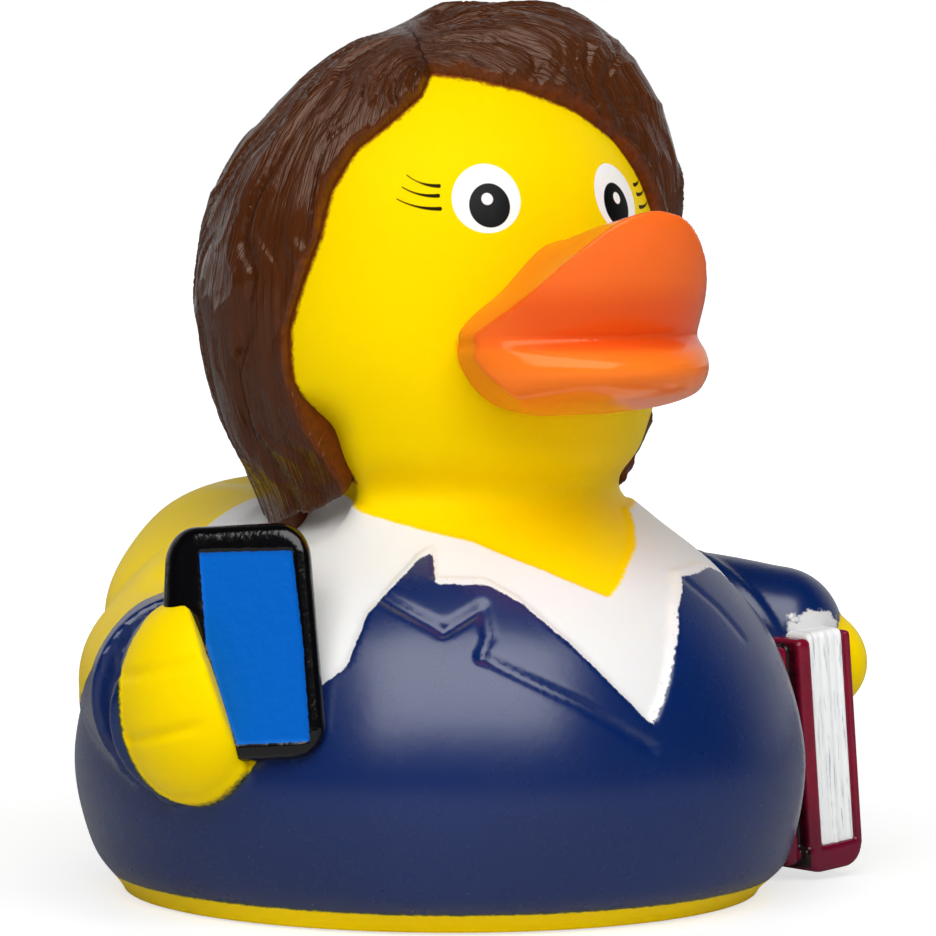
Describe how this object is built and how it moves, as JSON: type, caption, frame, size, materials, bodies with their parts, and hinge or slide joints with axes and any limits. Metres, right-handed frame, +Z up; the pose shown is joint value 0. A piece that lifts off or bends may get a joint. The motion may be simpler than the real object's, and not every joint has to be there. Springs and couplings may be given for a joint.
{
  "type": "rubber duck",
  "caption": "Hollow moulded toy duck in jacket and shirt, with long parted hair, a phone in one hand and a book under the other arm.",
  "frame": {"origin": "centre of the bounding box on the surface that the duck stands on", "axes": "+Z up, -Y the way the duck looks, +X to the duck's left, where it carries the book"},
  "size_m": [0.0808, 0.0734, 0.0851],
  "materials": {
    "duck_vinyl": "satin painted vinyl",
    "squeaker_plastic": "moulded"
  },
  "bodies": {
    "root": {"duck_body": "duck_vinyl", "squeaker": "squeaker_plastic"}
  },
  "joints": []
}
